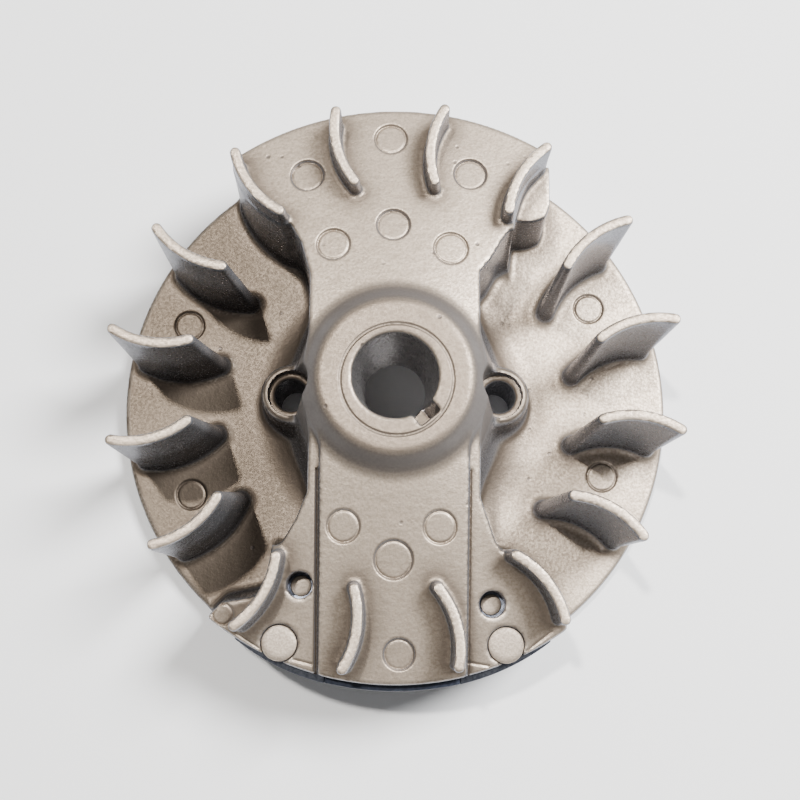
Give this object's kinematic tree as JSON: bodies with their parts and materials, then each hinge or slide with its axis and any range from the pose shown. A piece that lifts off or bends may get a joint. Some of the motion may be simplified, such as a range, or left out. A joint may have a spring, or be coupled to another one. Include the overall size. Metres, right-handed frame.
{
  "type": "fan flywheel",
  "caption": "Cast fan flywheel with curved blades, tapered hub bore, counterweight lobe and a rim magnet set between laminated pole shoes.",
  "frame": {"origin": "centre of the nut recess in the flat back face, on the axis of the wheel", "axes": "+Z along the axis, out of the hub's nose; -Y towards the magnet set"},
  "size_m": [0.0844, 0.0852, 0.0284],
  "materials": {
    "cast_aluminium": "shot-blasted die casting",
    "lamination_steel": "turned edge, lightly oiled",
    "magnet": "sintered ferrite, ground on the rim",
    "rivet_steel": "blasted with the casting"
  },
  "bodies": {
    "root": {"hub": "cast_aluminium", "rotor_disc": "cast_aluminium", "counterweight_lobe": "cast_aluminium", "balance_pad": "cast_aluminium", "magnet_lobe": "cast_aluminium", "magnet": "magnet", "fan_blade_01": "cast_aluminium", "fan_blade_02": "cast_aluminium", "fan_blade_03": "cast_aluminium", "fan_blade_04": "cast_aluminium", "fan_blade_05": "cast_aluminium", "fan_blade_06": "cast_aluminium", "fan_blade_07": "cast_aluminium", "fan_blade_08": "cast_aluminium", "fan_blade_09": "cast_aluminium", "fan_blade_10": "cast_aluminium", "fan_blade_11": "cast_aluminium", "fan_blade_12": "cast_aluminium", "fan_blade_13": "cast_aluminium", "fan_blade_14": "cast_aluminium", "fan_blade_15": "cast_aluminium", "fan_blade_16": "cast_aluminium", "left_lamination_01": "lamination_steel", "left_lamination_02": "lamination_steel", "left_lamination_03": "lamination_steel", "left_lamination_04": "lamination_steel", "left_lamination_05": "lamination_steel", "left_lamination_06": "lamination_steel", "left_lamination_07": "lamination_steel", "left_lamination_08": "lamination_steel", "left_lamination_09": "lamination_steel", "left_lamination_10": "lamination_steel", "left_lamination_11": "lamination_steel", "left_lamination_12": "lamination_steel", "right_lamination_01": "lamination_steel", "right_lamination_02": "lamination_steel", "right_lamination_03": "lamination_steel", "right_lamination_04": "lamination_steel", "right_lamination_05": "lamination_steel", "right_lamination_06": "lamination_steel", "right_lamination_07": "lamination_steel", "right_lamination_08": "lamination_steel", "right_lamination_09": "lamination_steel", "right_lamination_10": "lamination_steel", "right_lamination_11": "lamination_steel", "right_lamination_12": "lamination_steel", "rim_rivets": "rivet_steel", "inner_rivets": "rivet_steel"}
  },
  "joints": []
}
